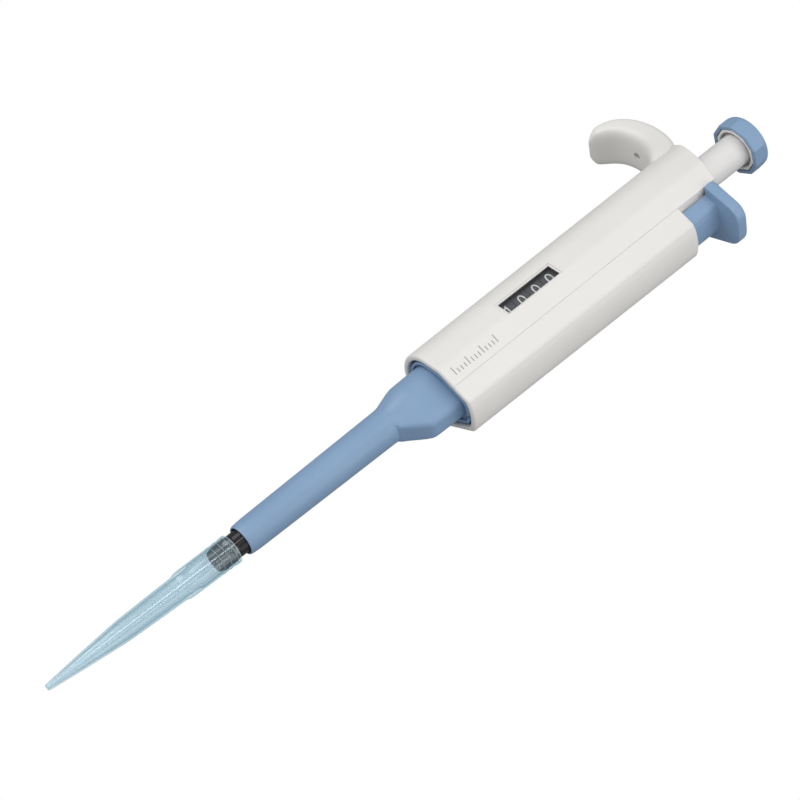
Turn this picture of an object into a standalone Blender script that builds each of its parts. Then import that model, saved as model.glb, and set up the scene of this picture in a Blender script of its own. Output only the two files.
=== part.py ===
"""Manual adjustable-volume micropipette with a disposable tip, standing upright, tip down.

Lengths in this file are millimetres.  Heights run up the plunger axis from a datum just above the
tip's open end.  Each object is written in metres with its own origin on its joint's axis.  The model's origin
is where the plunger axis meets the level of the finger hook's flat land.
+X points to the ejector button, -X to the finger hook, -Y to the side with the volume window.
"""

import math

import bpy
import bmesh
from mathutils import Matrix, Vector

MM = 0.001
GAP = 0.3                    # running gap between neighbouring pieces

# Heights up the plunger axis
TIP_END = -2.4
TIP_STEP = 49.0
TIP_SEAT = 62.5              # where the tip grips its cone
TIP_LEAN = 1.3               # degrees; the tip sits slightly crooked on its cone
TIP_LEAN_TOWARDS = 218.0     # compass of the open end's shift, in degrees from +X towards +Y
TIP_RIM = 69.0
SLEEVE_END = 72.1
FLARE_START = 133.5
NECK_START = 141.0
BODY_BOTTOM = 151.9
COVER_TOP = 252.5
BODY_TOP = 272.5
KNOB_BOTTOM = 291.9
KNOB_TOP = 298.8
HOOK_LAND = 269.8

# Motion
STROKE = 15.7                # 1000 microlitres with the 9 mm piston
BLOWOUT = 2.8
EJECT = 7.0
TURNS = 16.0                 # of the volume screw, from 1000 down to 200 microlitres
NUT_TRAVEL = STROKE * 0.8

# Body outline, seen along the axis
WALL = 1.5
SEAM_X = 12.0
BACK_CENTRE_X = -1.2
CREASE_X = 5.6
OUTLINE_LOW = {"back": 11.3, "side": 12.9, "nose": 19.5, "corner": 18.2, "half": 6.75}
OUTLINE_HIGH = {"back": 12.3, "side": 13.4, "nose": 20.4, "corner": 19.1, "half": 7.15}
TOP_SLOPE = 0.19             # the body's top falls this much per millimetre towards +X
BACK_STEPS = 10
NOSE_STEPS = 6

# Counter
DRUM_R = 11.0
DRUM_BORE = 7.5
DRUM_PITCH = 6.1
DRUM_FIRST = 185.3           # middle of the thousands drum
PINION_X, PINION_Y = 10.78, 6.22
PINION_R = 1.25

# Pistons, rods and the spindle
PISTON_R = 4.5
PISTON_BOTTOM = 158.7
COLLAR_BOTTOM = 198.0
ROD_R = 5.7
STEEL_R = 2.0
SPINDLE_R = 7.2
SPINDLE_BORE = 6.15
THREAD_PITCH = NUT_TRAVEL / TURNS
THREAD_DEPTH = 0.45

EJECT_X = 15.9               # axis of the ejector's push rod
EJECT_ROD_R = 1.3
STEM_X = 13.3                # flat back of the ejector's stem
KNOB_FLATS = 10
KNOB_R = 9.8

ORIGIN = Vector((0.0, 0.0, -HOOK_LAND))


# ---------------------------------------------------------------- building helpers

def clear_scene():
    for old in list(bpy.data.objects):
        bpy.data.objects.remove(old, do_unlink=True)


def material(name, colour, roughness, metallic=0.0, alpha=1.0, transmission=0.0):
    """One Principled material; colour is linear RGB."""
    made = bpy.data.materials.new(name)
    made.use_nodes = True
    shader = made.node_tree.nodes["Principled BSDF"]
    shader.inputs["Base Color"].default_value = (*colour, 1.0)
    shader.inputs["Roughness"].default_value = roughness
    shader.inputs["Metallic"].default_value = metallic
    shader.inputs["Alpha"].default_value = alpha
    shader.inputs["Transmission Weight"].default_value = transmission
    return made


def solid(name, points, faces, look, pivot=(0.0, 0.0, 0.0), smooth_angle=35.0):
    """An object from millimetre points, with its origin at the pivot."""
    pivot = Vector(pivot)
    mesh = bpy.data.meshes.new(name)
    mesh.from_pydata([(Vector(p) - pivot) * MM for p in points], [], faces)
    shaped = bmesh.new()
    shaped.from_mesh(mesh)
    bmesh.ops.recalc_face_normals(shaped, faces=shaped.faces)
    shaped.to_mesh(mesh)
    shaped.free()
    mesh.shade_smooth()
    mesh.set_sharp_from_angle(angle=math.radians(smooth_angle))
    made = bpy.data.objects.new(name, mesh)
    made.location = (pivot + ORIGIN) * MM
    if look is not None:
        mesh.materials.append(look)
    bpy.context.scene.collection.objects.link(made)
    return made


def helper(name, points, faces):
    """A cutter or guide, which isn't part of the model."""
    made = solid(name, points, faces, None)
    made.hide_render = True
    made.display_type = "WIRE"
    return made


def loft(rings, closed=False):
    """Points and faces through rings of equal length; capped at both ends unless closed."""
    count = len(rings[0])
    points = [p for ring in rings for p in ring]
    faces = []
    spans = len(rings) if closed else len(rings) - 1
    for level in range(spans):
        low, high = level * count, ((level + 1) % len(rings)) * count
        for i in range(count):
            j = (i + 1) % count
            faces.append((low + i, low + j, high + j, high + i))
    if not closed:
        faces.append(tuple(range(count - 1, -1, -1)))
        faces.append(tuple(range(len(points) - count, len(points))))
    return points, faces


def turned(profile, steps=32, centre=(0.0, 0.0)):
    """Points and faces of a closed (radius, z) profile turned about a vertical axis.

    A profile that touches the axis starts and ends there; any other is a ring.
    """
    on_axis = profile[0][0] == 0.0
    inner = profile[1:-1] if on_axis else profile
    cx, cy = centre
    rings = []
    for i in range(steps):
        turn = 2.0 * math.pi * i / steps
        rings.append([(cx + r * math.cos(turn), cy + r * math.sin(turn), z) for r, z in inner])
    if not on_axis:
        return loft(rings, closed=True)
    count = len(inner)
    points = [p for ring in rings for p in ring]
    first, last = len(points), len(points) + 1
    points += [(cx, cy, profile[0][1]), (cx, cy, profile[-1][1])]
    faces = []
    for i in range(steps):
        here, there = i * count, ((i + 1) % steps) * count
        for k in range(count - 1):
            faces.append((here + k, there + k, there + k + 1, here + k + 1))
        faces.append((first, there, here))
        faces.append((last, here + count - 1, there + count - 1))
    return points, faces


def tube(name, inner, outer, low, high, look, steps=32, centre=(0.0, 0.0)):
    """A plain ring or bush between two heights."""
    profile = [(inner, low), (outer, low), (outer, high), (inner, high)]
    return solid(name, *turned(profile, steps, centre), look, (*centre, low))


def rod(name, radius, low, high, look, steps=16, centre=(0.0, 0.0), chamfer=0.3):
    """A round bar with chamfered ends."""
    profile = [(0.0, low), (radius - chamfer, low), (radius, low + chamfer),
               (radius, high - chamfer), (radius - chamfer, high), (0.0, high)]
    return solid(name, *turned(profile, steps, centre), look, (*centre, low))


def block(low, high):
    """Points and faces of a box."""
    (x0, y0, z0), (x1, y1, z1) = low, high
    base = [(x0, y0), (x1, y0), (x1, y1), (x0, y1)]
    return loft([[(x, y, z0) for x, y in base], [(x, y, z1) for x, y in base]])


def combine(target, other, operation):
    """Adds an exact Boolean; the other object becomes a helper that isn't built."""
    cut = target.modifiers.new(other.name, "BOOLEAN")
    cut.operation = operation
    cut.solver = "EXACT"
    cut.object = other
    other.hide_render = True
    other.display_type = "WIRE"


def spring(name, radius, wire, low, high, turns, look, per_turn=10, sides=5, centre=(0.0, 0.0)):
    """A round-wire coil spring between two heights, as one swept tube with flat end turns."""
    cx, cy = centre
    rings = []
    steps = int(turns * per_turn)
    rise = high - low - 2.0 * wire
    for i in range(steps + 1):
        share = i / steps
        turn = 2.0 * math.pi * turns * share
        height = low + wire + rise * share
        out = Vector((math.cos(turn), math.sin(turn), 0.0))
        ring = []
        for k in range(sides):
            around = 2.0 * math.pi * k / sides
            offset = out * math.cos(around) + Vector((0.0, 0.0, 1.0)) * math.sin(around)
            ring.append(tuple(Vector((cx, cy, height)) + out * radius + offset * wire))
        rings.append(ring)
    return solid(name, *loft(rings), look, (cx, cy, low))


# ---------------------------------------------------------------- the body's outline

def outline(height, inset=0.0):
    """The body's outline at a height, as named numbers, moved inward by inset."""
    share = (height - BODY_BOTTOM) / (BODY_TOP - BODY_BOTTOM)
    size = {k: OUTLINE_LOW[k] + (OUTLINE_HIGH[k] - OUTLINE_LOW[k]) * share for k in OUTLINE_LOW}
    bulge = size["nose"] - size["corner"]
    nose_r = (size["half"] ** 2 + bulge ** 2) / (2.0 * bulge)
    size["nose_centre"] = size["nose"] - nose_r
    size["nose_r"] = nose_r - inset
    slope = math.atan2(size["side"] - size["half"], size["corner"] - CREASE_X)
    size["slope"] = slope
    size["start"] = Vector((CREASE_X - inset * math.sin(slope), size["side"] - inset * math.cos(slope)))
    size["along"] = Vector((math.cos(slope), -math.sin(slope)))
    crease = size["start"] + size["along"] * (inset * math.tan(slope / 2.0))
    size["crease"] = crease
    size["back"] -= inset
    size["side"] -= inset
    return size


def facet_at(size, x):
    """Half-width of the converging side at x."""
    return size["start"].y - (x - size["start"].x) * math.tan(size["slope"])


def nose_corner(size):
    """Where the converging side meets the nose arc."""
    start, along = size["start"], size["along"]
    offset = start - Vector((size["nose_centre"], 0.0))
    b = offset.dot(along)
    c = offset.length_squared - size["nose_r"] ** 2
    return start + along * (-b + math.sqrt(b * b - c))


def back_half(size, front_x):
    """Outline from (front_x, -y) round the hook side to (front_x, +y)."""
    crease = size["crease"]
    points = [(front_x, -facet_at(size, front_x)), (crease.x, -crease.y)]
    for i in range(BACK_STEPS + 1):
        turn = math.pi * i / BACK_STEPS
        points.append((BACK_CENTRE_X - size["back"] * math.sin(turn), -size["side"] * math.cos(turn)))
    return points + [(crease.x, crease.y), (front_x, facet_at(size, front_x))]


def nose_half(size, front_x):
    """Outline from (front_x, -y) round the nose to (front_x, +y)."""
    corner = nose_corner(size)
    spread = math.asin(corner.y / size["nose_r"])
    points = [(front_x, -facet_at(size, front_x))]
    for i in range(NOSE_STEPS + 1):
        turn = -spread + 2.0 * spread * i / NOSE_STEPS
        points.append((size["nose_centre"] + size["nose_r"] * math.cos(turn),
                       size["nose_r"] * math.sin(turn)))
    return points + [(front_x, facet_at(size, front_x))]


def whole_outline(size):
    """The closed outline, nose and back together."""
    nose = nose_half(size, CREASE_X + 1.0)
    back = back_half(size, CREASE_X + 1.0)
    return nose[:-1] + back[::-1][:-1]


def top_at(x):
    return BODY_TOP - TOP_SLOPE * x


def shell_ring(half, height, front_x, thickness, sloped=False):
    """A C-shaped ring: outer outline one way and the inner outline back."""
    outer = half(outline(height), front_x)
    inner = half(outline(height, thickness), front_x)
    ring = outer + inner[::-1]
    return [(x, y, top_at(x) if sloped else height) for x, y in ring]


# ---------------------------------------------------------------- handle

def rear_shell(look):
    rings = [shell_ring(back_half, BODY_BOTTOM, SEAM_X, WALL),
             shell_ring(back_half, BODY_TOP, SEAM_X, WALL, sloped=True)]
    shell = solid("rear_shell", *loft(rings), look, smooth_angle=18.0)
    hook = finger_hook()
    core_rings = [[(x, y, z) for x, y in whole_outline(outline(z, WALL / 2.0))]
                  for z in (BODY_TOP - 40.0, BODY_TOP + 20.0)]
    combine(hook, helper("hook_trim", *loft(core_rings)), "DIFFERENCE")
    combine(shell, hook, "UNION")
    window = helper("window_cut", *block((WINDOW_LOW[0] - 0.9, -20.0, WINDOW_LOW[1] - 0.9),
                                         (WINDOW_HIGH[0], -8.0, WINDOW_HIGH[1] + 0.9)))
    combine(shell, window, "DIFFERENCE")
    hole = helper("lanyard_cut", *turned([(0.0, 255.0), (1.1, 255.0), (1.1, 290.0), (0.0, 290.0)],
                                         12, (HOOK_HOLE_X, 0.0)))
    combine(shell, hole, "DIFFERENCE")
    return shell


# Window in the flat side, as (x, height) corners
WINDOW_LOW = (-0.1, 183.4)
WINDOW_HIGH = (5.5, 205.8)

# Finger hook: an arched beam round a centre below it
HOOK_CENTRE = (-24.2, 254.3)
HOOK_UNDER_R = HOOK_LAND - HOOK_CENTRE[1]
HOOK_HOLE_X = -23.6
HOOK_LAND_HALF = 12.0        # degrees of arch that the flat land takes on each side

# Arch sections: (degrees from upright, underside radius, top radius, half-width)
HOOK_SECTIONS = (
    (-56.0, 15.4, 25.2, 10.2), (-44.0, 15.3, 25.4, 10.4), (-32.0, 15.3, 25.5, 10.0),
    (-22.0, 15.4, 25.4, 9.4), (-12.0, 15.5, 25.1, 8.9), (0.0, 15.5, 24.8, 8.6),
    (12.0, 15.5, 24.4, 8.4), (22.0, 15.6, 23.8, 8.3), (32.0, 15.5, 22.7, 8.3),
    (41.0, 15.2, 21.3, 8.1), (48.0, 15.0, 20.0, 7.7), (54.0, 14.9, 18.8, 7.1),
    (58.5, 15.0, 17.8, 6.2), (61.0, 15.3, 16.8, 5.0),
)


def finger_hook():
    rings = []
    for angle, inner, outer, half in HOOK_SECTIONS:
        turn = math.radians(angle)
        if abs(angle) <= HOOK_LAND_HALF:
            inner = HOOK_UNDER_R / math.cos(turn)
        ring = []
        for across, deep in rounded_box(half, (outer - inner) / 2.0, 2.0):
            reach = (inner + outer) / 2.0 + deep
            ring.append((HOOK_CENTRE[0] - reach * math.sin(turn), across,
                         HOOK_CENTRE[1] + reach * math.cos(turn)))
        rings.append(ring)
    return solid("hook_form", *loft(rings), None)


def rounded_box(half_wide, half_deep, radius):
    """Corner-rounded rectangle, counter-clockwise."""
    radius = min(radius, half_deep * 0.9, half_wide * 0.9)
    points = []
    for sx, sy, start in ((1, 1, 0), (-1, 1, 90), (-1, -1, 180), (1, -1, 270)):
        for step in range(4):
            turn = math.radians(start + 30.0 * step)
            points.append((sx * (half_wide - radius) + radius * math.cos(turn),
                           sy * (half_deep - radius) + radius * math.sin(turn)))
    return points


def front_cover(look):
    front = SEAM_X + 0.25
    rings = [shell_ring(nose_half, BODY_BOTTOM, front, WALL),
             shell_ring(nose_half, COVER_TOP, front, WALL)]
    return solid("front_cover", *loft(rings), look, smooth_angle=18.0)


def window_lens(look):
    low = (WINDOW_LOW[0] - 0.9 + GAP, -12.9, WINDOW_LOW[1] - 0.9 + GAP)
    high = (WINDOW_HIGH[0] - GAP, -11.7, WINDOW_HIGH[1] + 0.9 - GAP)
    return solid("window_lens", *block(low, high), look)


def plate(low, high, inset, front_x):
    """A plate that fills the body's back half."""
    rings = []
    for z in (low, high):
        rings.append([(x, y, z) for x, y in back_half(outline(z, inset), front_x)])
    return loft(rings)


def top_cap(look):
    inset = WALL + GAP
    outer = back_half(outline(BODY_TOP, inset), SEAM_X - GAP)
    low = [(x, y, 264.5) for x, y in outer]
    high = [(x, y, top_at(x) - 1.3) for x, y in outer]
    cap = solid("top_cap", *loft([low, high]), look)
    bore = helper("cap_bore", *turned([(0.0, 250.0), (ROD_R + GAP, 250.0), (ROD_R + GAP, 290.0),
                                       (0.0, 290.0)], 32))
    combine(cap, bore, "DIFFERENCE")
    return cap


CHASSIS_WALL = (11.4, 12.45)
CHASSIS_BASE = (171.0, 175.0)
CHASSIS_MIDDLE = (209.3, 212.0)
CHASSIS_TOP = (251.5, 255.0)


def chassis(look):
    inset = WALL + GAP
    base = solid("chassis", *plate(*CHASSIS_BASE, inset, CHASSIS_WALL[1]), look)
    for name, span in (("chassis_middle", CHASSIS_MIDDLE), ("chassis_top", CHASSIS_TOP)):
        combine(base, helper(name, *plate(*span, inset, CHASSIS_WALL[1])), "UNION")
    wall = block((CHASSIS_WALL[0], -7.5, CHASSIS_BASE[0] + 0.6),
                 (CHASSIS_WALL[1] - 0.05, 7.5, CHASSIS_TOP[1] + 9.0))
    combine(base, helper("chassis_wall", *wall), "UNION")
    guide = block((CHASSIS_WALL[0] + 0.4, -3.2, 212.5), (EJECT_X + 1.9, 3.2, 215.0))
    combine(base, helper("rod_guide", *guide), "UNION")
    cuts = {
        "base_bore": ((0.0, 0.0), 6.9, CHASSIS_BASE),
        "middle_bore": ((0.0, 0.0), SPINDLE_R + GAP, CHASSIS_MIDDLE),
        "top_bore": ((0.0, 0.0), SPINDLE_R + GAP, CHASSIS_TOP),
        "guide_bore": ((EJECT_X, 0.0), EJECT_ROD_R + GAP, (212.5, 215.0)),
    }
    for name, (centre, radius, span) in cuts.items():
        profile = [(0.0, span[0] - 1.0), (radius, span[0] - 1.0), (radius, span[1] + 1.0),
                   (0.0, span[1] + 1.0)]
        combine(base, helper(name, *turned(profile, 24, centre)), "DIFFERENCE")
    skirt = helper("chassis_skirt", *turned([(8.7, 163.5), (9.5, 163.5), (9.5, 171.5), (8.7, 171.5)], 28))
    combine(base, skirt, "UNION")
    opening = block((CHASSIS_WALL[0] - 1.0, 4.3, CHASSIS_BASE[1]),
                    (CHASSIS_WALL[1] + 1.0, 9.5, CHASSIS_MIDDLE[0]))
    combine(base, helper("counter_opening", *opening), "DIFFERENCE")
    slot = block((CHASSIS_WALL[0] - 1.0, -2.0, 228.0), (CHASSIS_WALL[1] + 1.0, 2.0, 250.5))
    combine(base, helper("key_slot", *slot), "DIFFERENCE")
    return base


def cylinder(look):
    """Piston cylinder and the tip cone, with the air way right through."""
    profile = [
        (1.3, 61.4), (3.5, 61.4), (3.8, 62.2), (3.8, 68.4), (4.0, 69.4),
        (4.0, 134.5), (6.1, 138.5), (6.1, 160.0), (8.4, 160.0), (8.4, 170.7), (7.0, 170.7),
        (7.0, 162.5), (4.8, 162.5), (4.8, 139.5), (1.3, 136.5),
    ]
    return solid("cylinder", *turned(profile, 28), look)


def cylinder_nut(look):
    profile = [(6.5, 157.0), (10.7, 157.0), (10.7, 168.0), (9.8, 168.0), (9.8, 159.7), (6.5, 159.7)]
    return solid("cylinder_nut", *turned(profile, 24), look, (0.0, 0.0, 157.0))


def o_ring(look):
    centre_r, wire, height = 6.35, 0.33, 163.6
    profile = [(centre_r + wire * math.cos(math.radians(45.0 * k)),
                height + wire * math.sin(math.radians(45.0 * k))) for k in range(8)]
    return solid("seal_o_ring", *turned(profile, 28), look, (0.0, 0.0, height))


# ---------------------------------------------------------------- volume setting

def spindle(look):
    """Sleeve that carries the volume nut outside and the blow-out spring's shelf inside.

    The screwed length is drawn at its mean diameter.
    """
    low, high = CHASSIS_BASE[1] + GAP, 262.5
    thread_low, thread_high = 226.0, 251.0
    mean = SPINDLE_R - THREAD_DEPTH / 2.0
    profile = [
        (SPINDLE_BORE, low), (SPINDLE_R, low), (SPINDLE_R, thread_low),
        (mean, thread_low + THREAD_PITCH), (mean, thread_high - THREAD_PITCH),
        (SPINDLE_R, thread_high), (SPINDLE_R, high), (SPINDLE_BORE, high), (SPINDLE_BORE, 207.0),
        (2.6, 207.0), (2.6, 205.0), (SPINDLE_BORE, 205.0),
    ]
    return solid("volume_spindle", *turned(profile, 32), look)


def volume_nut(look):
    low, high = 243.5, 249.5
    nut = solid("volume_nut", *turned([(SPINDLE_R + GAP, low), (9.4, low), (9.4, high),
                                       (SPINDLE_R + GAP, high)], 28), look, (0.0, 0.0, low))
    key = helper("nut_key", *block((8.6, -1.6, low + 0.5), (CHASSIS_WALL[1] - 0.1, 1.6, high - 0.5)))
    combine(nut, key, "UNION")
    return nut


def drum(name, index, look):
    """Number wheel, with a raised band that carries the figures."""
    middle = DRUM_FIRST + DRUM_PITCH * index
    half = (DRUM_PITCH - GAP) / 2.0
    profile = [(DRUM_BORE, middle - half), (DRUM_R - 0.5, middle - half), (DRUM_R, middle - half + 0.4),
               (DRUM_R, middle + half - 0.4), (DRUM_R - 0.5, middle + half), (DRUM_BORE, middle + half)]
    return solid(name, *turned(profile, 30), look, (0.0, 0.0, middle))


def carry_pinion(name, index, look):
    """Small eight-toothed pinion between two number wheels."""
    middle = DRUM_FIRST + DRUM_PITCH * (index + 0.5)
    rings = []
    for z in (middle - 2.0, middle + 2.0):
        ring = []
        for tooth in range(8):
            for step, radius in ((0.0, PINION_R), (0.35, PINION_R), (0.5, 0.98), (0.85, 0.98)):
                turn = 2.0 * math.pi * (tooth + step) / 8.0
                ring.append((radius * math.cos(turn), radius * math.sin(turn), z))
        rings.append(ring)
    inner = []
    for ring in rings:
        inner.append([(x * 0.65 / math.hypot(x, y), y * 0.65 / math.hypot(x, y), z) for x, y, z in ring])
    closed = [rings[0], rings[1], inner[1], inner[0]]
    points, faces = loft(closed, closed=True)
    points = [(x + PINION_X, y + PINION_Y, z) for x, y, z in points]
    return solid(name, points, faces, look, (PINION_X, PINION_Y, middle))


# ---------------------------------------------------------------- plunger

KNOB_TURN = math.radians(188.0)      # direction of one of the knob's corners


def polygon_ring(radius, height, sides=KNOB_FLATS):
    """Regular polygon with one corner along KNOB_TURN."""
    return [(radius * math.cos(KNOB_TURN + 2.0 * math.pi * k / sides),
             radius * math.sin(KNOB_TURN + 2.0 * math.pi * k / sides), height) for k in range(sides)]


def plunger_knob(look):
    """Ten-sided cap, hollow below, where the insert sits."""
    pocket = 8.35
    rings = [polygon_ring(pocket, KNOB_TOP - 2.2), polygon_ring(pocket, KNOB_BOTTOM),
             polygon_ring(KNOB_R - 0.5, KNOB_BOTTOM), polygon_ring(KNOB_R, KNOB_BOTTOM + 0.7),
             polygon_ring(KNOB_R, KNOB_TOP - 1.4), polygon_ring(KNOB_R - 0.5, KNOB_TOP - 0.5),
             polygon_ring(KNOB_R - 1.6, KNOB_TOP)]
    return solid("plunger_knob", *loft(rings), look, (0.0, 0.0, KNOB_BOTTOM), 20.0)


def knob_insert(look):
    """Ten-sided ring inside the knob, with a round well that the push rod goes up."""
    low, high = KNOB_BOTTOM + 0.3, KNOB_TOP - 2.5
    outer, well = 8.0, 6.9
    steps = KNOB_FLATS * 3
    rings = []
    for radius, z, flat in ((well, low, False), (outer, low, True), (outer, high, True),
                            (2.3, high, False), (2.3, high - 1.6, False), (well, high - 1.6, False)):
        ring = []
        for k in range(steps):
            turn = KNOB_TURN + 2.0 * math.pi * k / steps
            if flat:
                side = (k % 3) / 3.0
                corner = 2.0 * math.pi / KNOB_FLATS
                reach = radius * math.cos(corner / 2.0) / math.cos(corner * (side - 0.5))
            else:
                reach = radius
            ring.append((reach * math.cos(turn), reach * math.sin(turn), z))
        rings.append(ring)
    return solid("knob_insert", *loft(rings, closed=True), look, (0.0, 0.0, low), 20.0)


def push_rod(look):
    low, high = 240.2, KNOB_TOP - 4.4
    profile = [(STEEL_R + GAP, low), (ROD_R - 0.3, low), (ROD_R, low + 0.4), (ROD_R, high - 0.4),
               (ROD_R - 0.3, high), (STEEL_R + GAP, high)]
    return solid("push_rod", *turned(profile, 32), look, (0.0, 0.0, low))


def piston_collar(look):
    low = COLLAR_BOTTOM
    profile = [(STEEL_R + GAP, low), (3.9, low), (3.9, low + 1.2), (4.2, low + 1.4), (5.7, low + 1.4),
               (5.7, low + 3.4), (STEEL_R + GAP, low + 3.4)]
    return solid("piston_collar", *turned(profile, 24), look, (0.0, 0.0, low))


# ---------------------------------------------------------------- ejector

def stem_outline(height, front_x):
    """Ejector stem section: the nose outline moved in past the cover's wall."""
    return nose_half(outline(height, WALL + 0.4), front_x)


def ejector_button(look):
    """Thumb flange on a stem that fills the top of the front cover's channel."""
    low, under, high = 238.5, 264.3, 268.7
    front = STEM_X
    stem_low = [(x, y, low) for x, y in stem_outline(COVER_TOP, front)]
    stem_high = [(x, y, under + 1.0) for x, y in stem_outline(COVER_TOP, front)]
    stem = solid("ejector_button", *loft([stem_low, stem_high]), look, (EJECT_X, 0.0, low), 20.0)
    levels = [(under, 0.7), (under + 0.7, 0.0), (high - 0.7, 0.0), (high, 0.7)]
    rings = [[(x, y, z) for x, y in flange_outline(inset)] for z, inset in levels]
    combine(stem, helper("thumb_flange", *loft(rings)), "UNION")
    return stem


def flange_outline(inset):
    """Thumb flange seen from above: tapering sides, a broad rounded end and a notch at its root."""
    root_x, root_y = SEAM_X + 0.3 + inset, 11.4 - inset
    end_x, end_y, corner = 27.1 - inset, 6.9 - inset, 4.8 - inset
    points = [(root_x, -root_y)]
    for start, side in ((-75.0, -1.0), (15.0, 1.0)):
        for step in range(5):
            turn = math.radians(start + 15.0 * step)
            points.append((end_x - corner + corner * math.cos(turn),
                           side * (end_y - corner) + corner * math.sin(turn)))
    notch_x, notch_y = CHASSIS_WALL[1] + GAP + inset, 7.9 + inset
    return points + [(root_x, root_y), (root_x, notch_y), (notch_x, notch_y), (notch_x, -notch_y),
                     (root_x, -notch_y)]


def ejector_sleeve(look):
    """Tube over the tip cone, widening into the neck that enters the body."""
    stations = [  # height, outer radius, how far the small end's centre is drawn out, bore radius
        (SLEEVE_END, 4.95, 0.0, 4.6), (SLEEVE_END + 0.5, 5.2, 0.0, 4.45),
        (SLEEVE_END + 2.5, 5.36, 0.0, 4.45),
        (FLARE_START, 6.05, 0.0, 5.15), (NECK_START - 2.0, 7.7, 7.3, 6.9),
        (NECK_START, 8.3, 9.9, 7.0), (BODY_BOTTOM + 1.2, 8.45, 10.1, 7.1),
    ]
    outer_rings, inner_rings = [], []
    for z, radius, drawn, bore in stations:
        outer_rings.append([(x, y, z) for x, y in neck_outline(radius, drawn)])
        inner_rings.append([(bore * math.cos(turn), bore * math.sin(turn), z) for turn in neck_angles()])
    sleeve = solid("ejector_sleeve", *loft(outer_rings + inner_rings[::-1], closed=True), look,
                   (0.0, 0.0, SLEEVE_END), 25.0)
    low, high = BODY_BOTTOM + 0.3, BODY_BOTTOM + 4.2
    lip_low = [(x, y, low) for x, y in whole_outline(outline(BODY_BOTTOM, WALL + 0.7))]
    lip_high = [(x, y, high) for x, y in whole_outline(outline(BODY_BOTTOM, WALL + 0.7))]
    combine(sleeve, helper("sleeve_lip", *loft([lip_low, lip_high])), "UNION")
    bore = [(0.0, low - 0.4), (7.1, low - 0.4), (7.1, high + 1.0), (0.0, high + 1.0)]
    combine(sleeve, helper("lip_bore", *turned(bore, 36)), "DIFFERENCE")
    eye = [(0.0, low - 1.0), (1.3, low - 1.0), (1.3, high + 1.0), (0.0, high + 1.0)]
    combine(sleeve, helper("rod_eye", *turned(eye, 12, (EJECT_X, 0.0))), "DIFFERENCE")
    return sleeve


NECK_TANGENT = 62.0          # degrees from +X where the neck's straight sides leave its round end


def neck_angles():
    """Directions of the neck's outline points: 13 round the small end, then 25 round the big one."""
    small = [-NECK_TANGENT + 2.0 * NECK_TANGENT * k / 12 for k in range(13)]
    big = [NECK_TANGENT + (360.0 - 2.0 * NECK_TANGENT) * k / 24 for k in range(25)]
    return [math.radians(a) for a in small + big[1:-1]]


def neck_outline(radius, drawn):
    """Teardrop: a circle on the axis and a smaller one drawn out along +X, with tangent sides."""
    small = radius - drawn * math.cos(math.radians(NECK_TANGENT))
    points = []
    for k, turn in enumerate(neck_angles()):
        centre, r = (drawn, small) if k <= 12 else (0.0, radius)
        points.append((centre + r * math.cos(turn), r * math.sin(turn)))
    return points


def ejector_rod(look):
    """Steel push rod whose shouldered end sits in the sleeve's lip."""
    shoulder, high = BODY_BOTTOM + 4.5, 238.2
    profile = [(0.0, shoulder - 3.2), (0.8, shoulder - 3.2), (1.0, shoulder - 3.0), (1.0, shoulder),
               (EJECT_ROD_R, shoulder), (EJECT_ROD_R, high - 0.3), (EJECT_ROD_R - 0.3, high), (0.0, high)]
    return solid("ejector_rod", *turned(profile, 12, (EJECT_X, 0.0)), look, (EJECT_X, 0.0, shoulder))


# ---------------------------------------------------------------- tip

def pipette_tip(look):
    """Disposable tip: thin-walled cone with a stepped collar, leaning a little on its seat."""
    profile = [
        (0.6, TIP_END), (1.05, TIP_END), (1.25, TIP_END + 1.5), (3.45, 25.0), (4.1, TIP_STEP - 1.0),
        (4.6, TIP_STEP), (4.7, TIP_RIM - 2.0), (4.85, TIP_RIM - 1.6), (4.85, TIP_RIM), (4.25, TIP_RIM),
        (4.15, 54.0), (3.6, 53.0), (3.5, TIP_STEP - 2.0), (2.85, 25.0), (0.75, TIP_END + 1.5),
    ]
    points, faces = turned(profile, 32)
    towards = math.radians(TIP_LEAN_TOWARDS)
    pivot = Vector((0.0, 0.0, TIP_SEAT))
    lean = Matrix.Rotation(math.radians(-TIP_LEAN), 3, Vector((-math.sin(towards), math.cos(towards), 0.0)))
    points = [tuple(lean @ (Vector(p) - pivot) + pivot) for p in points]
    return solid("pipette_tip", points, faces, look)


# ---------------------------------------------------------------- the whole pipette

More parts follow.
